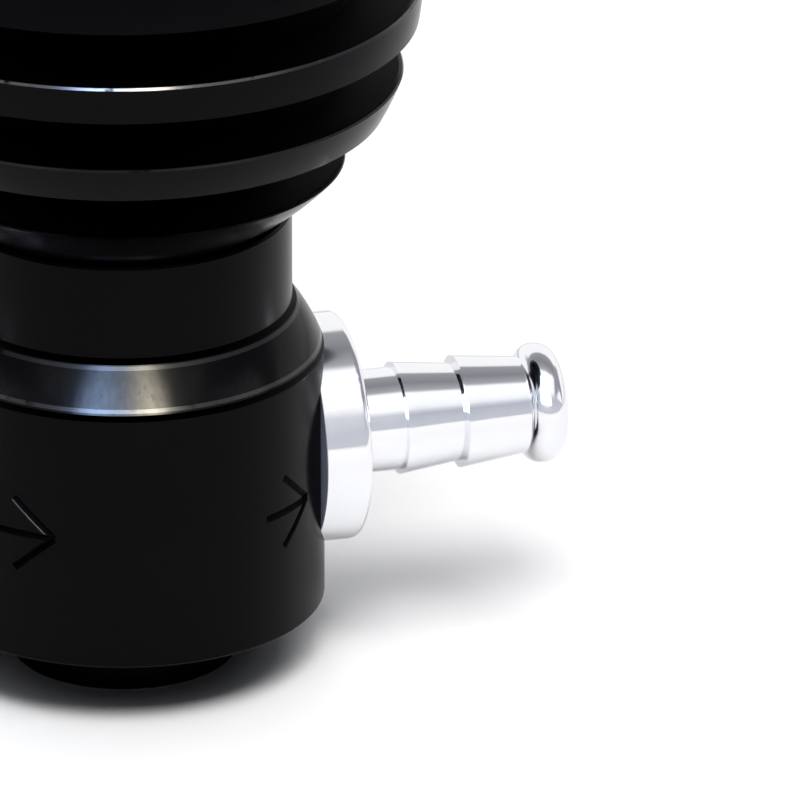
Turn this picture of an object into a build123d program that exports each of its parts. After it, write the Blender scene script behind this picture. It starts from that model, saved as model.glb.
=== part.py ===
from build123d import *
from math import atan2, cos, degrees, radians, sin, sqrt
import os

# Manual boost controller: a ball and spring valve set by a finned ball knob.
# Millimetres. Z is the knob's axis, the foot stands on z = 0, air leaves along +X.

# Outside of the housing
body_diameter = 25.4
neck_diameter = 21.4
foot_diameter = 14.3
foot_height = 3.9
wall_height = 16.9
shoulder_height = 3.4
shoulder_step = (body_diameter - neck_diameter) / 2
shoulder_crown = shoulder_step * 0.085
shoulder_edge_round = shoulder_step / 2
neck_height = 6.1
body_edge_break = 0.15

# Finned ball knob, in proportion to its ball
ball_diameter = 38.0
knob_gap = 0.15
fin_height = ball_diameter / 15.2
groove_height = ball_diameter / 11
groove_depth = ball_diameter / 9.5
lowest_fin_height = ball_diameter * 0.088
lowest_groove_below_centre = ball_diameter / 3
fin_upper_edge_break = 0.15
fin_lower_edge_break = 0.06
fin_count = 6
skirt_bottom_gap = 1.1

# Hose fittings
port_height = 13.7
port_flat_depth = 1.3
port_thread_diameter = 8.0
port_thread_depth = 3.3
port_seal_recess_diameter = 10.6
port_seal_recess_depth = 1.0
collar_diameter = 14.6
collar_length = 3.05
collar_edge_round = 0.5
spigot_length = 2.9
spigot_neck_diameter = 6.4
shank_diameter = 6.6
barb_diameter = 7.2
barb_root_diameter = 6.25
barb_starts = (6.4, 10.4)
bead_start = 14.5
bead_length = 2.6
bead_diameter = 7.7
bead_round = 1.25
hose_bore_diameter = 3.8
fitting_key_across_flats = 4.0
fitting_key_depth = 4.0

# Drillings and bores
gallery_diameter = 12.7
gallery_roof = 8.0
feed_drill_diameter = 1.8
feed_drill_from_axis = 5.0
port_drill_diameter = 3.0
chamber_diameter = 6.6
seat_floor = 9.2
seat_inlet_diameter = 4.4
post_floor = 16.4
well_floor = 21.5
well_diameter = 18.0

# Base plug
plug_thread_length = 2.4
plug_relief_diameter = 10.6
plug_seal_recess_diameter = 13.4
plug_seal_recess_depth = 0.9
plug_cavity_diameter = 7.0
plug_cavity_depth = 1.2
plug_key_across_flats = 3.9
plug_key_depth = 3.0
plug_edge_break = 0.15

# Valve
seat_height = 2.4
seat_bore_diameter = 3.0
seat_cone_depth = 0.8
ball_valve_diameter = 4.76
carrier_diameter = 5.4
carrier_head_height = 1.6
carrier_lip_width = 0.3
carrier_pin_diameter = 2.6
carrier_pin_height = 3.0

# Spring
wire_diameter = 0.8
spring_diameter = 5.4
spring_turns = 6

# Guide post
post_thread_diameter = 12.0
post_flange_diameter = 15.6
post_flange_height = 1.4
post_spanner_slot_width = 2.0
post_spanner_slot_depth = 0.8
post_relief_diameter = 9.8
post_top = 47.0
post_gasket_height = 0.6

# Follower
piston_bottom = 31.0
piston_height = 4.6
rod_diameter = 3.6
rod_top = 46.5
thrust_ball_diameter = 3.2
thrust_cone_radius = 1.3
thrust_pad_diameter = 7.0
thrust_pad_height = 1.4

# Stop screws in the knob
stop_screw_diameter = 3.0
stop_screw_recess = 0.2
stop_tip_diameter = 2.0
stop_tip_length = 1.2
stop_key_across_flats = 1.5
stop_key_depth = 1.2
stop_screw_angles = (60.0, 120.0)

# Rubber rings: thickness of the ring's section
piston_ring_section = 1.2
skirt_ring_section = 1.2

# Flow arrows engraved on the wall with a pointed cutter
arrow_height = 12.45
arrow_angles = (-45.0, 40.5)
arrow_length = 4.5
arrow_barb_length = 3.7
arrow_barb_angle = 40.0
arrow_stroke_width = 0.55
arrow_stroke_cuts = 3
arrow_depth = 0.27

# Travel of the knob along Z above the pose shown, where it is screwed down to the neck
knob_travel_up = 4.0

# Clearances: on the radius, between balls and their cones, and at the stops
thread_clearance = 0.03
running_clearance = 0.05
ring_clearance = 0.05
skirt_clearance = 0.15
contact_clearance = 0.05
face_clearance = 0.1
stop_clearance = 0.1
stop_tip_clearance = 0.3

# Heights that follow
wall_top = foot_height + wall_height
neck_bottom = wall_top + shoulder_height
neck_top = neck_bottom + neck_height
knob_bottom = neck_top + knob_gap
lowest_fin_top = knob_bottom + lowest_fin_height
ball_centre = lowest_fin_top + lowest_groove_below_centre
fin_pitch = fin_height + groove_height
knob_top = lowest_fin_top + fin_pitch * (fin_count - 1)
skirt_diameter = well_diameter - 2 * skirt_clearance
stop_screw_height = lowest_fin_top + groove_height / 2
port_seat_from_axis = body_diameter / 2 - port_flat_depth
flange_top = well_floor + post_flange_height
skirt_bottom = flange_top + skirt_bottom_gap
seat_top = seat_floor + seat_height
ball_radius = ball_diameter / 2
valve_ball_radius = ball_valve_diameter / 2
cone_contact = valve_ball_radius * sin(radians(45))
seat_cone_apex = seat_top - seat_cone_depth - seat_bore_diameter / 2
valve_ball_height = seat_cone_apex + 2 * cone_contact + contact_clearance
carrier_cone_apex = valve_ball_height + 2 * cone_contact + contact_clearance
spring_bottom = carrier_cone_apex + carrier_head_height
thrust_ball_radius = thrust_ball_diameter / 2
thrust_cone_apex = rod_top - thrust_cone_radius
thrust_ball_height = thrust_cone_apex + 2 * thrust_ball_radius * sin(radians(45)) + contact_clearance
pad_bottom = thrust_ball_height + thrust_ball_radius + contact_clearance
knob_roof = pad_bottom + thrust_pad_height
knob_bore_top = post_top + stop_clearance
relief_bottom = stop_screw_height - stop_tip_diameter / 2 - stop_clearance
relief_top = stop_screw_height + stop_tip_diameter / 2 + knob_travel_up + stop_clearance
post_bore_diameter = chamber_diameter


def turned(*profile):
    """Solid of revolution about Z from a closed outline of (radius, height) points."""
    outline = Polyline(*[(radius, 0, height) for radius, height in profile], close=True)
    return revolve(make_face(outline), axis=Axis.Z)


def disc(diameter, bottom, top):
    """Plain cylinder on Z between two heights."""
    return Pos(0, 0, (bottom + top) / 2) * Cylinder(diameter / 2, top - bottom)


def ring(outer_diameter, inner_diameter, bottom, top):
    """Plain ring on Z between two heights."""
    return disc(outer_diameter, bottom, top) - disc(inner_diameter, bottom, top)


def groove_diameter(bore_diameter, section):
    """Floor of the groove that a square rubber ring lies in, so that the ring just clears the bore."""
    return bore_diameter - 2 * (section + 2 * ring_clearance)


def rubber_ring(bore_diameter, section, height):
    """Square rubber ring centred on a height, just off its groove's floor and off the bore round it."""
    outer_diameter = bore_diameter - 2 * ring_clearance
    return ring(outer_diameter, outer_diameter - 2 * section, height - section / 2, height + section / 2)


def along_port(shape, side):
    """Lay a shape made on Z along the port on one side (+1 outlet, -1 inlet), z = 0 on the port's seat."""
    return Pos(side * port_seat_from_axis, 0, port_height) * Rot(0, side * 90, 0) * shape


def key_socket(across_flats, depth):
    """Hexagonal key socket that opens downwards at z = 0."""
    return extrude(RegularPolygon(across_flats / 2, 6, major_radius=False), amount=depth)


def engraved_cut(along, height, length, slope):
    """Short V groove in the wall, at a distance along it and a height, with its slope in degrees."""
    above_wall = arrow_depth
    half_width = arrow_stroke_width / 2 * (arrow_depth + above_wall) / arrow_depth
    section = Polyline((0, -arrow_depth), (half_width, above_wall), (-half_width, above_wall), close=True)
    groove = extrude(Plane.YZ * make_face(section), amount=length / 2, both=True)
    on_wall = Pos(0, -body_diameter / 2, height) * Rot(90, 0, 0) * Rot(0, 0, slope) * groove
    return Rot(0, 0, degrees(2 * along / body_diameter)) * on_wall


def engraved_stroke(length, slope):
    """V groove that ends at the arrow's tip, in short cuts that follow the round wall at an even depth."""
    cut_length = length / arrow_stroke_cuts
    cuts = []
    for number in range(arrow_stroke_cuts):
        from_tip = cut_length * (number + 1 / 2)
        along = arrow_length / 2 - from_tip * cos(radians(slope))
        height = arrow_height - from_tip * sin(radians(slope))
        cuts.append(engraved_cut(along, height, cut_length, slope))
    return cuts


def flow_arrow(angle):
    """Arrow that points round the wall towards +X: a shaft and two barbs that meet at its tip."""
    arrow = engraved_stroke(arrow_length, 0)
    arrow += engraved_stroke(arrow_barb_length, arrow_barb_angle)
    arrow += engraved_stroke(arrow_barb_length, -arrow_barb_angle)
    return [Rot(0, 0, angle) * cut for cut in arrow]


def make_body_housing():
    """Turned and drilled housing: wall, bulged shoulder and neck, with two ports and a central bore."""
    body_radius = body_diameter / 2
    neck_radius = neck_diameter / 2
    housing = turned(
        (0, foot_height),
        (body_radius - body_edge_break, foot_height),
        (body_radius, foot_height + body_edge_break),
        (body_radius, wall_top),
        (neck_radius, neck_bottom),
        (neck_radius, neck_top - body_edge_break),
        (neck_radius - body_edge_break, neck_top),
        (0, neck_top),
    )
    housing += shoulder_bulge()
    shoulder_edge = housing.edges().sort_by_distance((-body_radius, 0, wall_top))[0]
    housing = fillet(shoulder_edge, shoulder_edge_round)
    housing -= disc(well_diameter, well_floor, neck_top)
    housing -= disc(post_thread_diameter + 2 * thread_clearance, post_floor, well_floor)
    housing -= disc(chamber_diameter, seat_floor, post_floor)
    housing -= disc(seat_inlet_diameter, gallery_roof, seat_floor)
    housing -= disc(gallery_diameter, foot_height, gallery_roof)
    housing -= disc(plug_seal_recess_diameter, foot_height, foot_height + plug_seal_recess_depth)
    feed_drill = disc(feed_drill_diameter, gallery_roof, port_height)
    housing -= Pos(-feed_drill_from_axis, 0, 0) * feed_drill
    for side in (1, -1):
        housing -= port_cutter(side)
    for angle in arrow_angles:
        for cut in flow_arrow(angle):
            housing -= cut
    return housing


def shoulder_bulge():
    """Sliver between the straight cone of the shoulder and the shallow arc that it is turned to."""
    slant = sqrt(shoulder_step**2 + shoulder_height**2)
    low_corner = (body_diameter / 2, 0, wall_top)
    high_corner = (neck_diameter / 2, 0, neck_bottom)
    crest = (
        (body_diameter + neck_diameter) / 4 + shoulder_crown * shoulder_height / slant,
        0,
        (wall_top + neck_bottom) / 2 + shoulder_crown * shoulder_step / slant,
    )
    sliver = make_face([ThreePointArc(low_corner, crest, high_corner), Line(high_corner, low_corner)])
    return revolve(sliver, axis=Axis.Z)


def port_cutter(side):
    """Spot face, seal recess, thread and drilling of one port."""
    clear_of_body = body_diameter
    spot_face = disc(collar_diameter + 2 * face_clearance, 0, clear_of_body)
    recess = disc(port_seal_recess_diameter, -port_seal_recess_depth, 0)
    thread = disc(port_thread_diameter + 2 * thread_clearance, -port_thread_depth, 0)
    if side > 0:
        drill_end = chamber_diameter / 4
    else:
        drill_end = feed_drill_from_axis - feed_drill_diameter / 2
    drill = disc(port_drill_diameter, drill_end - port_seat_from_axis, 0)
    return along_port(spot_face + recess + thread + drill, side)


def make_base_plug():
    """Screwed plug that closes the gallery; its flange is the foot that the controller stands on."""
    foot_radius = foot_diameter / 2
    thread_radius = gallery_diameter / 2 - thread_clearance
    thread_bottom = foot_height + plug_seal_recess_depth
    plug_top = thread_bottom + plug_thread_length
    plug = turned(
        (0, 0),
        (foot_radius - plug_edge_break, 0),
        (foot_radius, plug_edge_break),
        (foot_radius, foot_height),
        (plug_relief_diameter / 2, foot_height),
        (plug_relief_diameter / 2, thread_bottom),
        (thread_radius, thread_bottom),
        (thread_radius, plug_top),
        (0, plug_top),
    )
    plug -= disc(plug_cavity_diameter, plug_top - plug_cavity_depth, plug_top)
    return plug - key_socket(plug_key_across_flats, plug_key_depth)


def make_base_plug_seal():
    """Flat rubber ring in the recess round the base plug."""
    return ring(
        plug_seal_recess_diameter - 2 * ring_clearance,
        plug_relief_diameter + 2 * ring_clearance,
        foot_height + contact_clearance,
        foot_height + plug_seal_recess_depth - contact_clearance,
    )


def make_hose_fitting(side):
    """Turned hose fitting: threaded spigot, round collar, shank, two barbs, and a bead round a key socket."""
    thread_radius = port_thread_diameter / 2
    neck_radius = spigot_neck_diameter / 2
    fitting = turned(
        (0, -spigot_length),
        (thread_radius, -spigot_length),
        (thread_radius, -port_seal_recess_depth),
        (neck_radius, -port_seal_recess_depth),
        (neck_radius, collar_length / 2),
        (0, collar_length / 2),
    )
    collar = disc(collar_diameter, 0, collar_length)
    outer_edge = collar.edges().filter_by(GeomType.CIRCLE).sort_by(Axis.Z)[-1]
    fitting += fillet(outer_edge, collar_edge_round)
    shank_radius = shank_diameter / 2
    barb_radius = barb_diameter / 2
    root_radius = barb_root_diameter / 2
    fitting += turned(
        (0, collar_length / 2),
        (shank_radius, collar_length / 2),
        (shank_radius, barb_starts[0]),
        (barb_radius, barb_starts[0]),
        (root_radius, barb_starts[1]),
        (barb_radius, barb_starts[1]),
        (root_radius, bead_start),
        (root_radius, bead_start + bead_length / 2),
        (0, bead_start + bead_length / 2),
    )
    bead = disc(bead_diameter, bead_start, bead_start + bead_length)
    fitting += fillet(bead.edges().filter_by(GeomType.CIRCLE), bead_round)
    tip = bead_start + bead_length
    fitting -= disc(hose_bore_diameter, -spigot_length, tip)
    fitting -= Pos(0, 0, tip - fitting_key_depth) * key_socket(fitting_key_across_flats, fitting_key_depth)
    return along_port(fitting, side)


def make_port_seal(side):
    """Flat rubber ring under the collar of one fitting."""
    seal = ring(
        port_seal_recess_diameter - 2 * ring_clearance,
        spigot_neck_diameter + 2 * ring_clearance,
        contact_clearance - port_seal_recess_depth,
        -contact_clearance,
    )
    return along_port(seal, side)


def make_valve_seat():
    """Brass seat pressed into the chamber, with a cone for the ball."""
    seat_radius = chamber_diameter / 2
    bore_radius = seat_bore_diameter / 2
    return turned(
        (bore_radius, seat_floor),
        (seat_radius, seat_floor),
        (seat_radius, seat_top),
        (bore_radius + seat_cone_depth, seat_top),
        (bore_radius, seat_top - seat_cone_depth),
    )


def make_valve_ball():
    """Steel ball resting on the seat's cone."""
    return Pos(0, 0, valve_ball_height) * Sphere(valve_ball_radius)


def make_ball_carrier():
    """Turned carrier: a cone below that sits on the ball, and a head and pin for the spring."""
    carrier_radius = carrier_diameter / 2
    pin_radius = carrier_pin_diameter / 2
    cone_radius = carrier_radius - carrier_lip_width
    lip_height = carrier_cone_apex - cone_radius
    return turned(
        (0, carrier_cone_apex),
        (cone_radius, lip_height),
        (carrier_radius, lip_height),
        (carrier_radius, spring_bottom),
        (pin_radius, spring_bottom),
        (pin_radius, spring_bottom + carrier_pin_height),
        (0, spring_bottom + carrier_pin_height),
    )


def make_control_spring():
    """Compression spring from the carrier's head to the piston, its wire eight-sided to keep it light."""
    wire_radius = wire_diameter / 2
    mean_radius = spring_diameter / 2 - wire_radius
    coil_height = piston_bottom - spring_bottom - wire_diameter
    coil_pitch = coil_height / spring_turns
    coil_path = Pos(0, 0, spring_bottom + wire_radius) * Helix(coil_pitch, coil_height, mean_radius)
    wire_section = Plane(origin=coil_path @ 0, z_dir=coil_path % 0) * RegularPolygon(wire_radius, 8)
    return sweep(wire_section, path=coil_path, is_frenet=True)


def make_guide_post():
    """Post screwed into the housing: the knob's thread runs on it and the follower slides in it."""
    thread_radius = post_thread_diameter / 2
    relief_radius = post_relief_diameter / 2
    post = turned(
        (0, post_floor + post_gasket_height),
        (thread_radius, post_floor + post_gasket_height),
        (thread_radius, well_floor),
        (post_flange_diameter / 2, well_floor),
        (post_flange_diameter / 2, flange_top),
        (thread_radius, flange_top),
        (thread_radius, relief_bottom),
        (relief_radius, relief_bottom),
        (relief_radius, relief_top),
        (thread_radius, relief_top),
        (thread_radius, post_top),
        (0, post_top),
    )
    post -= disc(post_bore_diameter, post_floor, post_top)
    slot_bottom = flange_top - post_spanner_slot_depth
    slot = Pos(0, 0, slot_bottom) * Box(
        post_flange_diameter,
        post_spanner_slot_width,
        post_spanner_slot_depth,
        align=(Align.CENTER, Align.CENTER, Align.MIN),
    )
    return post - (slot - disc(post_thread_diameter, slot_bottom, flange_top))


def make_post_gasket():
    """Flat gasket under the post's end."""
    return ring(post_thread_diameter, chamber_diameter, post_floor, post_floor + post_gasket_height)


def make_follower_piston():
    """Piston with a ring groove, and the rod that the thrust ball sits on."""
    piston_radius = post_bore_diameter / 2 - running_clearance
    piston_top = piston_bottom + piston_height
    groove_radius = groove_diameter(post_bore_diameter, piston_ring_section) / 2
    groove_half = piston_ring_section / 2 + ring_clearance
    middle = piston_bottom + piston_height / 2
    return turned(
        (0, piston_bottom),
        (piston_radius, piston_bottom),
        (piston_radius, middle - groove_half),
        (groove_radius, middle - groove_half),
        (groove_radius, middle + groove_half),
        (piston_radius, middle + groove_half),
        (piston_radius, piston_top),
        (rod_diameter / 2, piston_top),
        (rod_diameter / 2, rod_top),
        (thrust_cone_radius, rod_top),
        (0, thrust_cone_apex),
    )


def make_follower_seal():
    """Rubber ring in the piston's groove."""
    return rubber_ring(post_bore_diameter, piston_ring_section, piston_bottom + piston_height / 2)


def make_thrust_ball():
    """Steel ball between the rod and the knob, so that the knob turns without turning the spring."""
    return Pos(0, 0, thrust_ball_height) * Sphere(thrust_ball_radius)


def make_thrust_pad():
    """Hard disc in the roof of the knob's bore that the thrust ball runs against."""
    return disc(thrust_pad_diameter, pad_bottom, knob_roof)


def fin_profile():
    """Half section of the finned ball: the ball's outline, cut flat at both ends and grooved."""
    half = Pos(ball_radius / 2, (knob_top + knob_bottom) / 2) * Rectangle(ball_radius, knob_top - knob_bottom)
    half &= Pos(0, ball_centre) * Circle(ball_radius)
    core_radius = ball_radius - groove_depth
    for number in range(fin_count - 1):
        groove_bottom = lowest_fin_top + number * fin_pitch
        groove_middle = groove_bottom + groove_height / 2
        floor_radius = sqrt(core_radius**2 - (groove_middle - ball_centre) ** 2)
        width = ball_radius - floor_radius
        half -= Pos(floor_radius + width / 2, groove_middle) * Rectangle(width, groove_height)
    upper_rims = [corner for corner in half.vertices() if on_ball(corner, 0)]
    half = chamfer(upper_rims, fin_upper_edge_break)
    lower_rims = [corner for corner in half.vertices() if on_ball(corner, fin_height)]
    return chamfer(lower_rims, fin_lower_edge_break)


def on_ball(corner, below_fin_top):
    """True for a corner on the ball's outline at this distance below a fin's top, or below the lowest fin."""
    close = fin_lower_edge_break / 10
    from_centre = sqrt(corner.X**2 + (corner.Y - ball_centre) ** 2)
    above_lowest = corner.Y + below_fin_top - lowest_fin_top
    at_height = abs(above_lowest - round(above_lowest / fin_pitch) * fin_pitch) < close
    at_bottom = below_fin_top > 0 and abs(corner.Y - knob_bottom) < close
    return abs(from_centre - ball_radius) < close and (at_height or at_bottom)


def make_knob():
    """Finned ball turned from bar, with a skirt that runs in the neck and a bore for the post."""
    knob = revolve(Plane.XZ * fin_profile(), axis=Axis.Z)
    knob += skirt()
    knob -= disc(post_thread_diameter + 2 * running_clearance, skirt_bottom, knob_bore_top)
    knob -= disc(thrust_pad_diameter + 2 * thread_clearance, knob_bore_top, knob_roof)
    for angle in stop_screw_angles:
        knob -= Rot(0, 0, angle) * stop_screw_hole()
    return knob


def skirt():
    """Skirt below the ball, with a groove for its rubber ring."""
    skirt_radius = skirt_diameter / 2
    groove_radius = groove_diameter(well_diameter, skirt_ring_section) / 2
    groove_bottom = skirt_ring_height() - skirt_ring_section / 2 - ring_clearance
    groove_top = skirt_ring_height() + skirt_ring_section / 2 + ring_clearance
    return turned(
        (0, skirt_bottom),
        (skirt_radius, skirt_bottom),
        (skirt_radius, groove_bottom),
        (groove_radius, groove_bottom),
        (groove_radius, groove_top),
        (skirt_radius, groove_top),
        (skirt_radius, knob_bottom + lowest_fin_height / 2),
        (0, knob_bottom + lowest_fin_height / 2),
    )


def skirt_ring_height():
    """The ring sits low on the skirt, so that it stays in the neck when the knob is fully up."""
    return skirt_bottom + skirt_ring_section


def make_skirt_ring():
    """Rubber ring in the skirt's groove that keeps the knob where it is set and keeps dust out."""
    return rubber_ring(well_diameter, skirt_ring_section, skirt_ring_height())


def stop_screw_floor():
    """Radius of the groove floor that the stop screws enter."""
    return sqrt((ball_radius - groove_depth) ** 2 - (stop_screw_height - ball_centre) ** 2)


def stop_screw_hole():
    """Radial hole from the lowest groove to the bore, along +X."""
    hole = disc(stop_screw_diameter + 2 * thread_clearance, 0, stop_screw_floor() + groove_depth)
    return Pos(0, 0, stop_screw_height) * Rot(0, 90, 0) * hole


def stop_screw():
    """Dog point set screw along +X: its tip runs in the post's relief."""
    outer_end = stop_screw_floor() - stop_screw_recess
    tip_end = post_relief_diameter / 2 + stop_tip_clearance
    screw = disc(stop_screw_diameter, tip_end + stop_tip_length, outer_end)
    screw += disc(stop_tip_diameter, tip_end, tip_end + stop_tip_length)
    socket = Pos(0, 0, outer_end) * Rot(180, 0, 0) * key_socket(stop_key_across_flats, stop_key_depth)
    return Pos(0, 0, stop_screw_height) * Rot(0, 90, 0) * (screw - socket)


def make_knob_stop_screws():
    """The set screws that hold the knob's travel between its two limits."""
    return [Rot(0, 0, angle) * stop_screw() for angle in stop_screw_angles]


def write_part(name, shape):
    """Write one piece, or a list of loose solids, to its own file."""
    solids = shape if isinstance(shape, list) else [shape]
    loose = [solid for entry in solids for solid in entry.solids()]
    piece = loose[0] if len(loose) == 1 else Compound(children=loose)
    export_step(piece, "parts/" + name + ".step")


os.makedirs("parts", exist_ok=True)

write_part("body_housing", make_body_housing())
write_part("base_plug", make_base_plug())
write_part("base_plug_seal", make_base_plug_seal())
write_part("outlet_fitting", make_hose_fitting(1))
write_part("inlet_fitting", make_hose_fitting(-1))
write_part("outlet_fitting_seal", make_port_seal(1))
write_part("inlet_fitting_seal", make_port_seal(-1))
write_part("valve_seat", make_valve_seat())
write_part("valve_ball", make_valve_ball())
write_part("ball_carrier", make_ball_carrier())
write_part("control_spring", make_control_spring())
write_part("guide_post", make_guide_post())
write_part("post_gasket", make_post_gasket())
write_part("follower_piston", make_follower_piston())
write_part("follower_seal", make_follower_seal())
write_part("thrust_ball", make_thrust_ball())
write_part("thrust_pad", make_thrust_pad())
write_part("knob", make_knob())
write_part("skirt_ring", make_skirt_ring())
write_part("knob_stop_screws", make_knob_stop_screws())
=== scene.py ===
"""Looks of the manual boost controller round its CAD frame. Metres, Z up; air leaves along +X."""

from math import cos, hypot, pi, radians, sin

import bpy
import numpy as np
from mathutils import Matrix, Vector


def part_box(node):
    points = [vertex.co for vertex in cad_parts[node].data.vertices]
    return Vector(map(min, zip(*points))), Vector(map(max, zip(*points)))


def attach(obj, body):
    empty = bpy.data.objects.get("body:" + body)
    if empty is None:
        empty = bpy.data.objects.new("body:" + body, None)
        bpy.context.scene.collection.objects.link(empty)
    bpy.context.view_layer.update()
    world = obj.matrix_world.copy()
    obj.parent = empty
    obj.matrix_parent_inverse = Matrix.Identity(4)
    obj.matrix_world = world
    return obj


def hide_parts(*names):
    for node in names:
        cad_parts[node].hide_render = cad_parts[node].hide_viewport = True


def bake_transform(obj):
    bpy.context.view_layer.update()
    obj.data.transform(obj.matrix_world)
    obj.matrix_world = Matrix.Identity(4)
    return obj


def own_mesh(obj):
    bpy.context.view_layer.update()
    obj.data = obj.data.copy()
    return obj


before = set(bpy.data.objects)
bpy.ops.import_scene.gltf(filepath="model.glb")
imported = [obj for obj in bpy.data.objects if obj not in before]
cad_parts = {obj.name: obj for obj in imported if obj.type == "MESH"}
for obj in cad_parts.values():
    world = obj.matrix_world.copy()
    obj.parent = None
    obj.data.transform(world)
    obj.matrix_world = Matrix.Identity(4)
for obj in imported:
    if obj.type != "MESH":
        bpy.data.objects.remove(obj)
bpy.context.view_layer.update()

# Camera: the photograph's view
camera_azimuth = radians(-15.5)
camera_elevation = radians(22.8)
camera_distance = 1.2
sensor_width = 36.0
picture_pixels = 800
picture_centre = picture_pixels / 2
pixels_per_metre = 15850
axis_pixel_x = 122.8
axis_pixel_y = 288.0
height_at_axis_pixel = 0.02458

# Horizontal directions in the world: towards the camera, and to the picture's right
to_camera = (sin(camera_azimuth), -cos(camera_azimuth), 0.0)
to_right = (cos(camera_azimuth), sin(camera_azimuth), 0.0)

# Housing: its shoulder, its bores within inside_radius, and its arrows' grooves within engraved_radius
neck_height = 0.0061
shoulder_height = 0.0034
shoulder_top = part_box("body_housing")[1][2] - neck_height
shoulder_bottom = shoulder_top - shoulder_height
body_radius = 0.0127
inside_radius = 0.0095
engraved_radius = body_radius - 0.00006
engraved_top = shoulder_bottom - 0.001

# Bands of the shoulder, each between two heights: strips painted black as shade, rims of wear and painted
# highlight lines, and the polished band
low_shade_strip = (shoulder_bottom - 0.0001, shoulder_bottom + 0.0003)
low_rim = (shoulder_bottom + 0.00042, shoulder_bottom + 0.00066)
high_rim = (shoulder_top - 0.00062, shoulder_top - 0.0004)
high_shade_strip = (shoulder_top - 0.00034, shoulder_top + 0.00003)
polished_band = (shoulder_bottom + 0.0003, shoulder_top - 0.00034)

# Knob: its ball, and its fins' upper edges, worn and brightened as painted highlight lines, as depths below a
# fin's top, growing between two heights
ball_radius = (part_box("knob")[1][0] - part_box("knob")[0][0]) / 2
knob_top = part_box("knob")[1][2]
ball_centre = 0.04647
fin_pitch = 0.005955
fin_edge_wear_and_highlight = (0.00001, 0.00015)
fin_wear_and_highlight_heights = (0.037, 0.0455)
# Below this margin inside the ball's surface, the grooves between the fins are painted black as shade
groove_margin = 0.0003

# Fittings: their common axis, and how far from the knob's axis their collars begin
port_height = (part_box("outlet_fitting")[0][2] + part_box("outlet_fitting")[1][2]) / 2
collar_back = 0.01145

# Control spring: its wire and turns, and how finely it is drawn
wire_radius = 0.0004
spring_turns = 6
rings_per_turn = 48
points_per_ring = 16

# Anodised pieces: colours, gloss, wear that also stands in as painted highlight lines, and painted shade
# Black for painted shade in grooves, strips and arrows, and for the world's fill below the horizon
pure_black = (0.0, 0.0, 0.0, 1.0)
black_low = (0.0006, 0.0004, 0.0007, 1.0)
black_high = (0.0017, 0.0013, 0.0019, 1.0)
# Bare metal of worn edges, also standing in as painted highlight lines
wear_and_highlight_metal = (0.075, 0.075, 0.078, 1.0)
housing_rough, knob_rough = 0.24, 0.2
housing_gloss, knob_gloss = 0.05, 0.065
polish, polish_rough = 0.12, 0.12
# Extra roughness where grooves and strips are painted black as shade
painted_shade_rough = 0.5
# How bare the shoulder's rims are, as wear and painted highlight lines, the low rim brighter
rim_wear_and_highlight = 0.35
low_rim_wear_and_highlight_share = 1.5
# How dark the arrows' grooves are painted, as shade
engraved_shade_level = 0.85
anodised_relief = 0.0000012

# Anodised pieces: patterns, in features per metre, and the noise levels between which the wear and painted
# highlight bands, and the specks, begin
lathe_scale = 9000.0
grain_scale = 5200.0
cloud_scale = 160.0
wear_scale, wear_gaps = 900.0, (0.26, 0.42)
speck_scale, speck_edges = 2600.0, (0.62, 0.7)
streak_scales = (2600.0, 2600.0, 500.0)

# Bright fittings: colours and patterns
aluminium_low = (0.84, 0.85, 0.88, 1.0)
aluminium_high = (0.91, 0.91, 0.93, 1.0)
# Collar's back: dark grey painted as the shade in its gap against the housing
collar_back_shade_grey = (0.16, 0.155, 0.17, 1.0)
ring_scale = 7000.0
coarse_ring_scale = 1500.0

# Floor and background
floor_half = 3.0
floor_grey = (0.92, 0.92, 0.92, 1.0)
white = (1.0, 1.0, 1.0, 1.0)

# Window: two panes on one plane, whose edges are slopes, height over distance, as seen from the shoulder
window_distance = 0.18
window_half = 0.53 * window_distance
window_foot, window_bar, window_head = 0.3, 1.7, 2.6
window_strength = 68.0
window_stops = (
    (0.0, (0.03, 0.04, 0.07)), (0.12, (0.16, 0.22, 0.34)), (0.28, (0.25, 0.35, 0.55)),
    (0.5, (0.19, 0.23, 0.3)), (0.63, (0.36, 0.35, 0.33)),
    (0.76, (0.72, 0.67, 0.52)), (0.9, (0.5, 0.46, 0.37)), (1.0, (0.04, 0.04, 0.04)),
)

# Studio that reflections see, by half turns from the camera's side over the top: grey front, bright ceiling
# panel, dark ceiling, white back wall
studio_stops = (
    (0.0, (0.62, 0.64, 0.7)), (0.17, (0.52, 0.55, 0.62)),
    (0.25, (1.1, 1.12, 1.15)), (0.455, (1.15, 1.17, 1.2)),
    (0.485, (0.42, 0.43, 0.45)), (0.59, (0.25, 0.26, 0.28)), (0.725, (0.36, 0.36, 0.37)),
    (0.745, (1.05, 1.05, 1.05)),
)
dark_side = (0.34, 0.32, 0.4, 1.0)
fill_light = (0.3, 0.31, 0.35, 1.0)

# Lamps
lamp_distance = 0.9
lamp_target = (0, 0, 0.02)


class Socket:
    """One output of a shader node; arithmetic on it adds Math nodes."""

    def __init__(self, nodes, output):
        self.nodes = nodes
        self.output = output

    def _math(self, operation, first, second=0.0):
        return self.nodes.add("ShaderNodeMath", {"operation": operation}, {0: first, 1: second})

    def __add__(self, other):
        return self._math("ADD", self, other)

    def __sub__(self, other):
        return self._math("SUBTRACT", self, other)

    def __rsub__(self, other):
        return self._math("SUBTRACT", other, self)

    def __mul__(self, other):
        return self._math("MULTIPLY", self, other)

    def __truediv__(self, other):
        return self._math("DIVIDE", self, other)

    def __mod__(self, other):
        return self._math("FLOORED_MODULO", self, other)

    def __gt__(self, other):
        return self._math("GREATER_THAN", self, other)

    def __lt__(self, other):
        return self._math("LESS_THAN", self, other)

    def __abs__(self):
        return self._math("ABSOLUTE", self)

    __radd__ = __add__
    __rmul__ = __mul__


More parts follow.
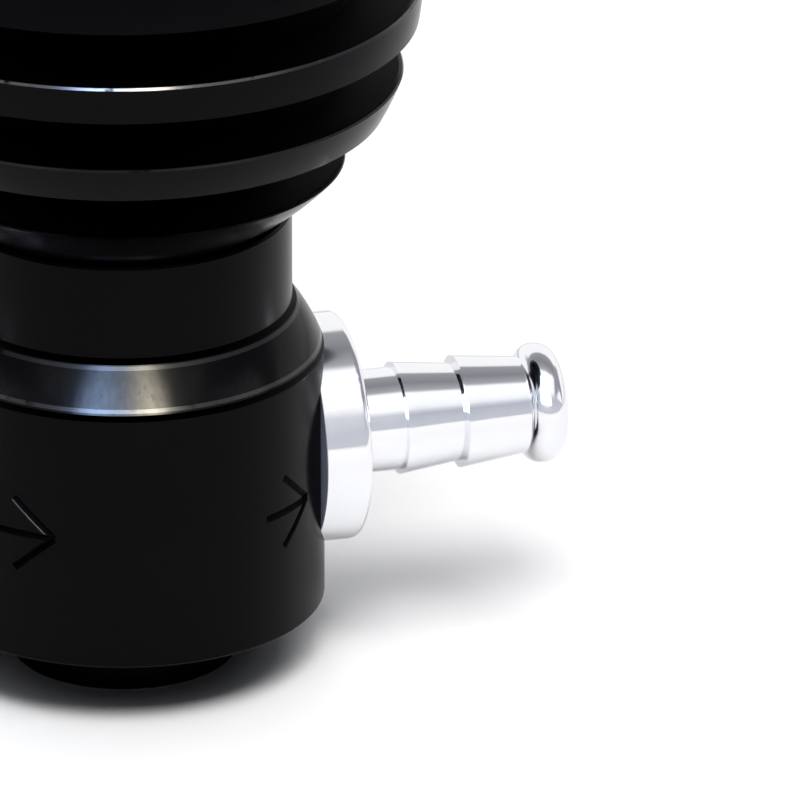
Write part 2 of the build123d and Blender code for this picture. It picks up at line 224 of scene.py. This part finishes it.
class Nodes:
    """The node tree of one material or world, with the few steps that every one of them needs."""

    def __init__(self, owner):
        owner.use_nodes = True
        self.owner = owner
        self.tree = owner.node_tree
        self.tree.nodes.clear()

    def add(self, kind, settings=None, inputs=None, output=0):
        """Add a node, set it, fill its sockets with values or links, and give back one output."""
        made = self.tree.nodes.new(kind)
        for name, value in (settings or {}).items():
            if name == "stops":
                set_stops(made.color_ramp, value)
            else:
                setattr(made, name, value)
        for name, value in (inputs or {}).items():
            if isinstance(value, Socket):
                self.tree.links.new(value.output, made.inputs[name])
            else:
                made.inputs[name].default_value = value
        return Socket(self, made.outputs[output])

    def place(self):
        """Object coordinates in metres."""
        return self.add("ShaderNodeTexCoord", output="Object")

    def seen_by(self, ray):
        """1 for rays of the named kind, such as Is Camera Ray."""
        return self.add("ShaderNodeLightPath", output=ray)

    def part(self, vector, axis):
        """One coordinate of a vector."""
        return self.add("ShaderNodeSeparateXYZ", {}, {"Vector": vector}, output=axis)

    def vector(self, across, along):
        """Vector for a pattern on two values."""
        return self.add("ShaderNodeCombineXYZ", {}, {"X": across, "Y": along})

    def minus(self, vector, point):
        """Vector from a fixed point."""
        return self.add("ShaderNodeVectorMath", {"operation": "SUBTRACT"}, {0: vector, 1: point})

    def towards(self, vector, direction):
        """How far a vector reaches in a direction."""
        inputs = {0: vector, 1: direction}
        return self.add("ShaderNodeVectorMath", {"operation": "DOT_PRODUCT"}, inputs, "Value")

    def scaled(self, vector, factors):
        """Vector with each coordinate multiplied by its own factor."""
        return self.add("ShaderNodeVectorMath", {"operation": "MULTIPLY"}, {0: vector, 1: factors})

    def length(self, vector):
        """Length of a vector."""
        return self.add("ShaderNodeVectorMath", {"operation": "LENGTH"}, {0: vector}, "Value")

    def from_axis(self, place):
        """Distance from the knob's axis."""
        return self.length(self.scaled(place, (1.0, 1.0, 0.0)))

    def noise(self, place, scale, detail=2.0, roughness=0.5):
        """Soft noise between about 0 and 1."""
        inputs = {"Vector": place, "Scale": scale, "Detail": detail, "Roughness": roughness}
        return self.add("ShaderNodeTexNoise", {}, inputs)

    def turned(self, radius, along, scale, detail=2.0, roughness=0.5):
        """Rings that a lathe leaves: noise on the distance from the turning axis and the place along it."""
        return self.noise(self.vector(radius * scale, along * scale), 1.0, detail, roughness)

    def ramp(self, value, stops):
        """Value mapped through stops of (position, colour)."""
        return self.add("ShaderNodeValToRGB", {"stops": stops}, {"Fac": value})

    def step(self, value, low, high):
        """Smooth step from 0 at low to 1 at high."""
        inputs = {"Value": value, "From Min": low, "From Max": high}
        return self.add("ShaderNodeMapRange", {"interpolation_type": "SMOOTHSTEP"}, inputs)

    def band(self, value, between):
        """1 between two limits, 0 outside them."""
        return (value > between[0]) * (value < between[1])

    def mix(self, factor, first, second):
        """Colour between two colours."""
        inputs = {"Factor": factor, 6: first, 7: second}
        return self.add("ShaderNodeMix", {"data_type": "RGBA"}, inputs, output=2)

    def bump(self, height, depth):
        """Normal for a height field whose full range is depth metres."""
        return self.add("ShaderNodeBump", {}, {"Height": height, "Distance": depth, "Strength": 1.0})

    def principled(self, **inputs):
        """Principled shader; underscores in the names stand for spaces."""
        named = {name.replace("_", " "): value for name, value in inputs.items()}
        return self.add("ShaderNodeBsdfPrincipled", {}, named)

    def finish(self, shader, kind="ShaderNodeOutputMaterial"):
        """Link the finished shader to the output, and give back the material or world."""
        output = self.tree.nodes.new(kind)
        self.tree.links.new(shader.output, output.inputs["Surface"])
        return self.owner


def set_stops(ramp, stops):
    """Give a colour ramp its stops of (position, colour)."""
    while len(ramp.elements) < len(stops):
        ramp.elements.new(1.0)
    for element, (position, colour) in zip(ramp.elements, stops):
        element.position = position
        element.color = (*colour, 1.0)


def add_object(name, data):
    """New object in the scene round a mesh, lamp or camera."""
    made = bpy.data.objects.new(name, data)
    bpy.context.scene.collection.objects.link(made)
    return made


def aim(thing, target):
    """Turn a lamp or camera so that it looks at a point."""
    thing.rotation_euler = (Vector(target) - thing.location).to_track_quat("-Z", "Y").to_euler()


def around(azimuth, elevation, distance):
    """Point at a distance from the object, by the camera's way of counting azimuth."""
    flat = distance * cos(elevation)
    return Vector((sin(azimuth) * flat, -cos(azimuth) * flat, distance * sin(elevation)))


def anodised(name, rough, gloss, masks=None):
    """Black anodised aluminium: near black with a trace of violet, fine turning marks and a soft cloud.

    masks is a function of (nodes, place, height) that gives three masks: worn to bare metal, which also
    paints highlight lines; painted black as shade, in grooves and strips; and polished.
    """
    nodes = Nodes(bpy.data.materials.new(name))
    place = nodes.place()
    height = nodes.part(place, "Z")
    lathe = nodes.turned(nodes.from_axis(place), height, lathe_scale, 3.0, 0.6)
    grain = nodes.noise(place, grain_scale, 2.0, 0.6)
    cloud = nodes.noise(place, cloud_scale, 3.0, 0.6)
    colour = nodes.mix(cloud, black_low, black_high)
    varying = {"Roughness": rough + (lathe - 0.5) * 0.08 + (cloud - 0.5) * 0.06}
    if masks is not None:
        wear_and_highlight, painted_shade, polished = masks(nodes, place, height)
        wear_and_highlight = wear_and_highlight * nodes.step(nodes.noise(place, wear_scale), *wear_gaps)
        # Worn edges lightened to bare metal as wear and painted highlight; grooves and strips painted black
        # as shade
        colour = nodes.mix(painted_shade, nodes.mix(wear_and_highlight, colour, wear_and_highlight_metal), pure_black)
        varying["Roughness"] = varying["Roughness"] + painted_shade * painted_shade_rough
        varying["Metallic"] = wear_and_highlight + painted_shade
        varying["Coat_Weight"] = polished * polish
    return nodes.finish(nodes.principled(
        Base_Color=colour, Normal=nodes.bump(lathe * 0.5 + grain * 0.5, anodised_relief),
        IOR=1.5, Specular_IOR_Level=gloss, Coat_Roughness=polish_rough, **varying,
    ))


def knob_masks(nodes, place, height):
    """Upper edges of the fins worn to bare metal and brightened as painted highlight lines, most on the upper
    ones; the grooves between them are painted black as shade.
    """
    below_fin = (knob_top - height) % fin_pitch
    # Fins' upper edges: wear and painted highlight lines, stronger on the upper fins
    wear_and_highlight = nodes.band(below_fin, fin_edge_wear_and_highlight) * nodes.step(height, *fin_wear_and_highlight_heights)
    from_centre = nodes.length(nodes.minus(place, (0.0, 0.0, ball_centre)))
    # Inside the ball's surface, in the grooves between the fins, all is painted black as shade
    painted_shade = from_centre < ball_radius - groove_margin
    return wear_and_highlight * (1.0 - painted_shade), painted_shade, 0.0


def housing_masks(nodes, place, height):
    """Bare rims near the top and bottom of the polished shoulder, as wear and painted highlight lines, a
    strip beyond each painted black as shade, and the arrows' grooves painted dark as shade.

    The shoulder shines more towards its lower rim, with faint streaks down the slope and a few dull specks.
    """
    radius = nodes.from_axis(place)
    outside = radius > inside_radius
    # Rims: wear and painted highlight lines along the shoulder's top and bottom
    wear_and_highlight = nodes.band(height, low_rim) * low_rim_wear_and_highlight_share + nodes.band(height, high_rim)
    # Strips under the neck and above the wall painted black as shade
    shade_strips = nodes.band(height, low_shade_strip) + nodes.band(height, high_shade_strip)
    # Arrows' grooves painted dark as shade
    engraved_shade = (radius < engraved_radius) * (height < engraved_top) * engraved_shade_level
    streaks = nodes.noise(nodes.scaled(place, streak_scales), 1.0, 3.0, 0.6)
    specks = nodes.step(nodes.noise(place, speck_scale), *speck_edges)
    lower = 1.0 - nodes.step(height, shoulder_bottom, shoulder_top)
    polished = nodes.band(height, polished_band) * outside
    polished = polished * (0.5 + lower) * (0.45 + streaks * 1.1) * (1.0 - specks * 0.4)
    return wear_and_highlight * outside * rim_wear_and_highlight, shade_strips * outside + engraved_shade, polished


def bright_aluminium(name):
    """Bright turned aluminium: fine and coarse rings about the port's axis; the collar's back is painted dark
    grey and rough as the shade in its gap against the housing.
    """
    nodes = Nodes(bpy.data.materials.new(name))
    place = nodes.place()
    centred = nodes.minus(place, (0.0, 0.0, port_height))
    radius = nodes.length(nodes.scaled(centred, (0.0, 1.0, 1.0)))
    along = nodes.part(centred, "X")
    rings = nodes.turned(radius, along, ring_scale, 3.0, 0.6)
    coarse_rings = nodes.turned(radius, along, coarse_ring_scale)
    cloud = nodes.noise(place, 500.0, 3.0, 0.6)
    # The collar's back, painted dark grey and rough as the shade in its gap against the housing
    back = abs(along) < collar_back
    colour = nodes.mix(back, nodes.mix(cloud, aluminium_low, aluminium_high), collar_back_shade_grey)
    return nodes.finish(nodes.principled(
        Base_Color=colour, Metallic=1.0, Roughness=0.06 + rings * 0.04 + cloud * 0.05 + back * 0.6,
        Normal=nodes.bump(rings * 0.6 + coarse_rings * 0.4, 0.0000005),
    ))


def plain_metal(name, colour, rough):
    """Turned metal of the pieces inside: its colour, faint clouds and fine marks."""
    nodes = Nodes(bpy.data.materials.new(name))
    place = nodes.place()
    marks = nodes.turned(nodes.from_axis(place), nodes.part(place, "Z"), 8000.0, 2.0, 0.6)
    cloud = nodes.noise(place, 400.0, 3.0, 0.6)
    darker = tuple(0.85 * level for level in colour)
    shade = nodes.mix(cloud, (*darker, 1.0), (*colour, 1.0))
    return nodes.finish(nodes.principled(
        Base_Color=shade, Metallic=1.0, Roughness=rough + marks * 0.1, Normal=nodes.bump(marks, 0.000002),
    ))


def black_rubber(name):
    """Moulded rubber: dull black with a fine grain."""
    nodes = Nodes(bpy.data.materials.new(name))
    grain = nodes.noise(nodes.place(), 6000.0, 3.0, 0.6)
    shade = nodes.mix(grain, (0.012, 0.012, 0.012, 1.0), (0.03, 0.03, 0.03, 1.0))
    return nodes.finish(nodes.principled(
        Base_Color=shade, Roughness=0.55 + grain * 0.2, Normal=nodes.bump(grain, 0.000008),
    ))


def finish_cad_nodes():
    """A procedural material on every CAD node."""
    finishes = (
        (anodised("anodised_housing", housing_rough, housing_gloss, housing_masks), ["body_housing"]),
        (anodised("anodised_knob", knob_rough, knob_gloss, knob_masks), ["knob"]),
        (anodised("anodised_foot", housing_rough, housing_gloss), ["base_plug"]),
        (bright_aluminium("bright_turned"), ["outlet_fitting", "inlet_fitting", "post_gasket"]),
        (plain_metal("turned_brass", (0.78, 0.55, 0.25), 0.25),
         ["valve_seat", "ball_carrier", "guide_post", "follower_piston"]),
        (plain_metal("polished_steel", (0.7, 0.7, 0.72), 0.12), ["valve_ball", "thrust_ball", "thrust_pad"]),
        (plain_metal("spring_steel", (0.45, 0.45, 0.47), 0.3), ["control_spring"]),
        (plain_metal("black_oxide", (0.05, 0.05, 0.055), 0.4), ["knob_stop_screws"]),
        (black_rubber("rubber_rings"),
         ["base_plug_seal", "outlet_fitting_seal", "inlet_fitting_seal", "follower_seal", "skirt_ring"]),
    )
    for material, names in finishes:
        for name in names:
            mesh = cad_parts[name].data
            mesh.materials.clear()
            mesh.materials.append(material)


def spring_piece(name, first_turn, last_turn):
    """Part of the control spring: a circle of the wire's radius carried along the helix of its middle line.

    Point(u, v) = helix(u) + wire radius * (cos v * outward + sin v * upward), both square to the wire.
    """
    low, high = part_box("control_spring")
    middle_radius = high[0] - wire_radius
    rise = (high[2] - low[2] - 2 * wire_radius) / (2 * pi * spring_turns)
    rings = rings_per_turn * (last_turn - first_turn) + 1
    along = 2 * pi * np.linspace(first_turn, last_turn, rings)[:, None]
    around_wire = np.linspace(0, 2 * pi, points_per_ring, endpoint=False)[None, :]
    cosine, sine, level = np.cos(along), np.sin(along), np.zeros_like(along)
    outward = np.stack((cosine, sine, level), axis=-1)
    upward = np.stack((rise * sine, -rise * cosine, level + middle_radius), axis=-1)
    upward = upward / hypot(rise, middle_radius)
    height = np.stack((level, level, low[2] + wire_radius + rise * along), axis=-1)
    section = outward * np.cos(around_wire)[..., None] + upward * np.sin(around_wire)[..., None]
    points = outward * middle_radius + height + wire_radius * section
    index = np.arange(rings * points_per_ring).reshape(rings, points_per_ring)
    beside = np.roll(index, -1, axis=1)
    sides = np.stack((index[:-1], index[1:], beside[1:], beside[:-1]), axis=-1).reshape(-1, 4)
    ends = [index[0].tolist(), index[-1, ::-1].tolist()]
    mesh = bpy.data.meshes.new(name)
    mesh.from_pydata(points.reshape(-1, 3).tolist(), [], sides.tolist() + ends)
    mesh.shade_smooth()
    mesh.materials.append(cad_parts["control_spring"].data.materials[0])
    piece = add_object(name, mesh)
    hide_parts("control_spring")
    return piece


def make_spring():
    """The control spring in two halves that meet at its middle.

    The lower half is attached to the housing, and the upper half keeps its place in the world.
    """
    lower = spring_piece("control_spring_lower", 0, spring_turns // 2)
    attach(lower, "housing")
    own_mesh(lower)
    upper = spring_piece("control_spring_upper", spring_turns // 2, spring_turns)
    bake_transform(upper)


def flat_piece(name, corners):
    """Stage object with one flat face."""
    mesh = bpy.data.meshes.new(name)
    mesh.from_pydata(corners, [], [(0, 1, 2, 3)])
    piece = add_object(name, mesh)
    return piece


def set_floor():
    """Pale floor that takes the soft shadow, and that the camera sees a little whiter."""
    half = floor_half
    floor = flat_piece("floor", [(-half, -half, 0), (half, -half, 0), (half, half, 0), (-half, half, 0)])
    nodes = Nodes(bpy.data.materials.new("pale_floor"))
    colour = nodes.mix(nodes.seen_by("Is Camera Ray"), floor_grey, white)
    shader = nodes.principled(Base_Color=colour, Roughness=0.9, Specular_IOR_Level=0.0)
    floor.data.materials.append(nodes.finish(shader))


def set_window(name, low_slope, high_slope, lit):
    """Bright pane close in front that only reflections see, and that lights only the nodes named in lit.

    It is cool on its left and warm on its right.
    """
    half = window_half
    low, high = (shoulder_top + slope * window_distance for slope in (low_slope, high_slope))
    out, side, up = Vector(to_camera) * window_distance, Vector(to_right), Vector((0.0, 0.0, 1.0))
    corners = [out + side * x + up * z for x, z in ((-half, low), (half, low), (half, high), (-half, high))]
    window = flat_piece(name, corners)
    nodes = Nodes(bpy.data.materials.new(name + "_light"))
    share = nodes.towards(nodes.place(), to_right) / (2 * half) + 0.5
    light = nodes.ramp(share, window_stops)
    glow = nodes.add("ShaderNodeEmission", {}, {"Color": light, "Strength": window_strength})
    window.data.materials.append(nodes.finish(glow))
    window.visible_camera = False
    window.visible_diffuse = False
    window.visible_shadow = False
    window.visible_transmission = False
    receivers = bpy.data.collections.new(name + "_lit")
    for node in lit:
        receivers.objects.link(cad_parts[node])
    window.light_linking.receiver_collection = receivers


def softbox(name, azimuth, elevation, size, power, colour):
    """Square lamp that looks at the object; reflections see the studio and the window instead."""
    light = bpy.data.lights.new(name, "AREA")
    light.shape = "SQUARE"
    light.size = size
    light.energy = power
    light.color = colour
    lamp = add_object(name, light)
    lamp.location = around(azimuth, elevation, lamp_distance)
    aim(lamp, lamp_target)
    lamp.visible_glossy = False


def set_world():
    """Even cool fill from above; reflections see a studio that is worked out from their direction.

    The studio's stops run in the camera's upright plane, and high up on either side it is dark.
    """
    nodes = Nodes(bpy.data.worlds.new("studio"))
    bpy.context.scene.world = nodes.owner
    direction = nodes.add("ShaderNodeTexCoord", output="Generated")
    up = nodes.part(direction, "Z")
    front = nodes.towards(direction, to_camera)
    side = nodes.towards(direction, to_right)
    half_turns = nodes.add("ShaderNodeMath", {"operation": "ARCTAN2"}, {0: up, 1: front}) / pi
    at_sides = nodes.step(abs(side), 0.6, 0.74) * nodes.step(up, 0.3, 0.5)
    studio = nodes.mix(at_sides, nodes.ramp(half_turns, studio_stops), dark_side)
    fill = nodes.mix(nodes.step(up, 0.4, 0.7), pure_black, fill_light)
    level = nodes.mix(nodes.seen_by("Is Glossy Ray"), fill, studio)
    background = nodes.mix(nodes.seen_by("Is Camera Ray"), level, white)
    nodes.finish(nodes.add("ShaderNodeBackground", {}, {"Color": background}), "ShaderNodeOutputWorld")


def set_camera():
    """Long lens from the photograph's side, framed so that the knob's axis falls where the picture has it."""
    back = around(camera_azimuth, camera_elevation, 1.0)
    right = Vector(to_right)
    up = back.cross(right)
    across = (picture_centre - axis_pixel_x) / pixels_per_metre
    down = (picture_centre - axis_pixel_y) / pixels_per_metre
    centre = Vector((0, 0, height_at_axis_pixel)) + right * across - up * down
    data = bpy.data.cameras.new("camera")
    data.sensor_width = sensor_width
    data.lens = sensor_width * camera_distance * pixels_per_metre / picture_pixels
    data.clip_start = 0.01
    data.clip_end = 10.0
    camera = add_object("camera", data)
    camera.location = centre + back * camera_distance
    aim(camera, centre)
    bpy.context.scene.camera = camera


set_camera()
finish_cad_nodes()
make_spring()
set_floor()
set_window("lower_window", window_foot, window_bar, [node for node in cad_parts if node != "knob"])
set_window("upper_window", window_bar, window_head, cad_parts)
set_world()
softbox("key", radians(-8), radians(62), 0.32, 2.3, (1.0, 0.985, 0.95))
softbox("top", radians(25), radians(77), 0.75, 7.1, (1.0, 0.99, 0.98))
bpy.context.scene.view_settings.view_transform = "Standard"
